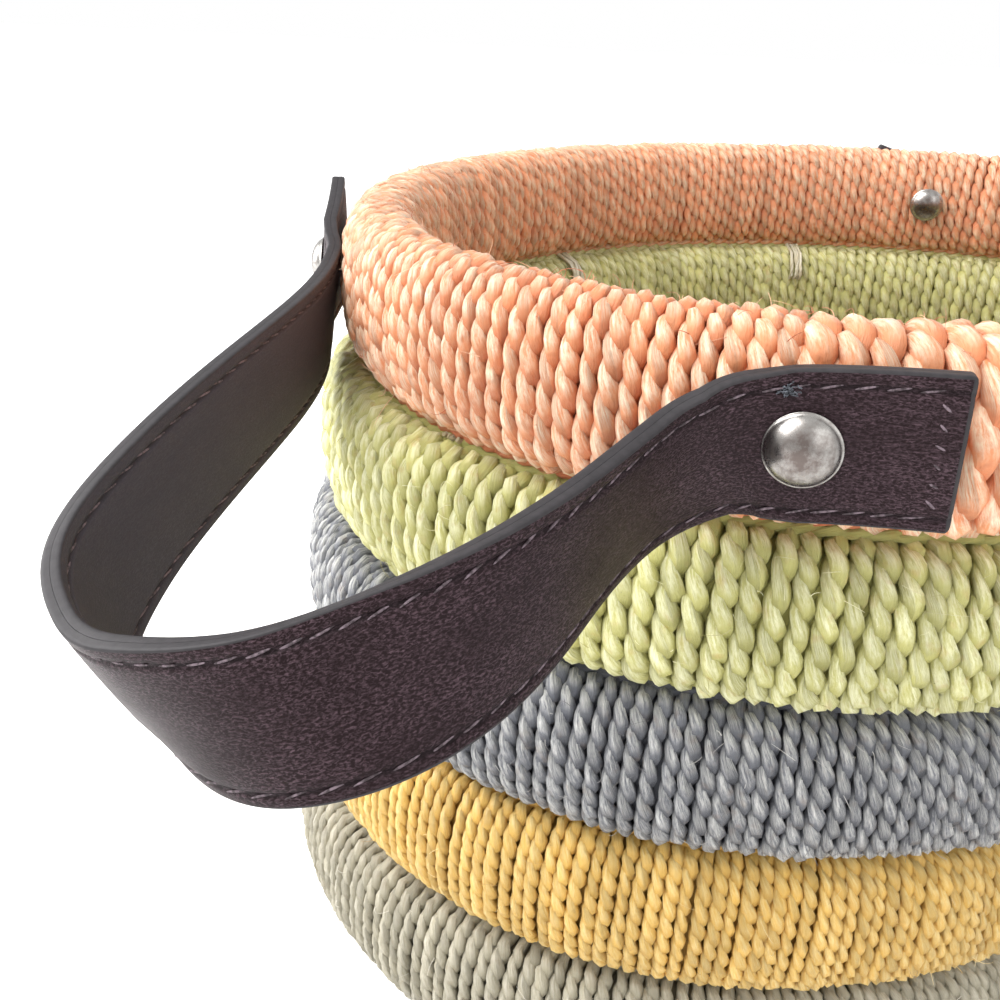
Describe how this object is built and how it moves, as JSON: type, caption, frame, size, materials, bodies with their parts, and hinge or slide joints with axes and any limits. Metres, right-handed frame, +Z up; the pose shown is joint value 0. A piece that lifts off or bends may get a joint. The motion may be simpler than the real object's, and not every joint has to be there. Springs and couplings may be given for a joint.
{
  "type": "coiled basket with strap handles",
  "caption": "Round coiled cord basket in stacked bands of colour, open at the top, with a flat base and swinging leather strap handles riveted through the rim",
  "frame": {"origin": "on the floor, under the middle of the basket's outline with its handles", "axes": "+Z up, -Y the front with the nearer end of the left handle, +X to the right of the front"},
  "size_m": [0.239, 0.3426, 0.1438],
  "materials": {
    "coral": "twisted cord, coral",
    "green": "twisted cord, lime green",
    "charcoal": "twisted cord, dark grey",
    "ochre": "twisted cord, ochre yellow",
    "taupe": "twisted cord, light grey-beige",
    "natural": "twisted cord, undyed",
    "core": "bundled plant fibre, undyed",
    "leather": "dark brown leather, lightly pebbled",
    "lining": "dark brown leather, matt inner side",
    "nickel": "nickel plated, lightly worn"
  },
  "bodies": {
    "basket": {"coral_wrap": "coral", "coral_core": "core", "green_wrap": "green", "green_core": "core", "charcoal_wrap": "charcoal", "charcoal_core": "core", "ochre_wrap": "ochre", "ochre_core": "core", "taupe_wrap": "taupe", "taupe_core": "core", "base_wrap": "natural", "base_core": "core", "base_start": "natural", "lacing_coral_green": "natural", "lacing_green_charcoal": "natural", "lacing_charcoal_ochre": "natural", "lacing_ochre_taupe": "natural", "left_handle_tab_1_face": "leather", "left_handle_tab_1_lining": "lining", "left_handle_tab_2_face": "leather", "left_handle_tab_2_lining": "lining", "right_handle_tab_1_face": "leather", "right_handle_tab_1_lining": "lining", "right_handle_tab_2_face": "leather", "right_handle_tab_2_lining": "lining", "left_rivet_1_head": "nickel", "left_rivet_1_cap": "nickel", "left_rivet_2_head": "nickel", "left_rivet_2_cap": "nickel", "right_rivet_1_head": "nickel", "right_rivet_1_cap": "nickel", "right_rivet_2_head": "nickel", "right_rivet_2_cap": "nickel"},
    "left_handle": {"left_handle_loop_face": "leather", "left_handle_loop_lining": "lining"},
    "right_handle": {"right_handle_loop_face": "leather", "right_handle_loop_lining": "lining"}
  },
  "joints": [
    {"name": "left_handle_swing", "type": "hinge", "parent": "basket", "child": "left_handle", "pos_m": [-0.05841, -0.08931, 0.13761], "axis": [-0.8167, 0.5771, 0], "range_deg": [0, 105]},
    {"name": "right_handle_swing", "type": "hinge", "parent": "basket", "child": "right_handle", "pos_m": [0.05825, 0.08973, 0.13761], "axis": [0.8674, -0.4976, 0], "range_deg": [0, 105]}
  ]
}
